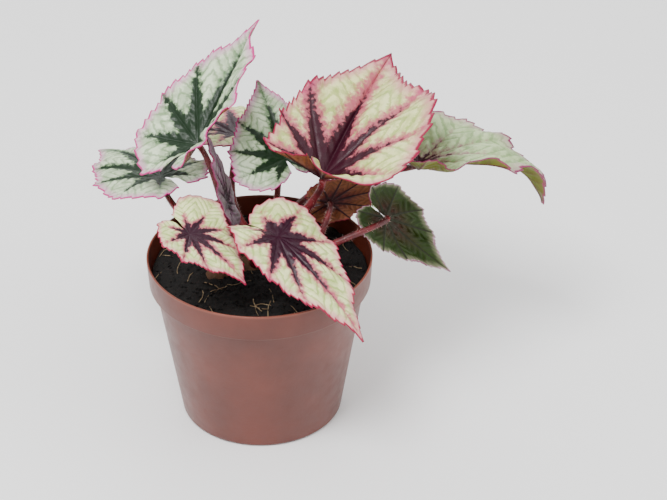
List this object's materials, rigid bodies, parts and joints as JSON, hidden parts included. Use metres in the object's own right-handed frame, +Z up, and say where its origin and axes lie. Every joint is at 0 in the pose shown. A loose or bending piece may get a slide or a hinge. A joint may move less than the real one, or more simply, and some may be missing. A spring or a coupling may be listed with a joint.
{
  "type": "potted rex begonia",
  "caption": "Rex begonia with a rosette of toothed, star-patterned leaves in a round tapered nursery pot with a rim band.",
  "frame": {"origin": "centre of the pot's underside, on the surface that it stands on", "axes": "+Z up along the pot's axis, -Y towards the side seen from the front"},
  "size_m": [0.2409, 0.2154, 0.1893],
  "materials": {
    "pot": "satin terracotta-brown moulded plastic",
    "soil": "matt near-black potting soil with pale fibres",
    "rhizome": "matt brown, scaly",
    "petiole": "satin crimson with pale flecks and hairs",
    "blade": "satin silver-green with a dark maroon star and a crimson margin"
  },
  "bodies": {
    "root": {"pot": "pot", "soil": "soil", "rhizome": "rhizome", "blade_main": "blade", "petiole_main": "petiole", "blade_arching": "blade", "petiole_arching": "petiole", "blade_small_drooping": "blade", "petiole_small_drooping": "petiole", "blade_underside": "blade", "petiole_underside": "petiole", "blade_front": "blade", "petiole_front": "petiole", "blade_front_left": "blade", "petiole_front_left": "petiole", "blade_middle": "blade", "petiole_middle": "petiole", "blade_tall_back": "blade", "petiole_tall_back": "petiole", "blade_dusky": "blade", "petiole_dusky": "petiole", "blade_far_left": "blade", "petiole_far_left": "petiole", "blade_far_middle": "blade", "petiole_far_middle": "petiole", "blade_far_right": "blade", "petiole_far_right": "petiole"}
  },
  "joints": []
}
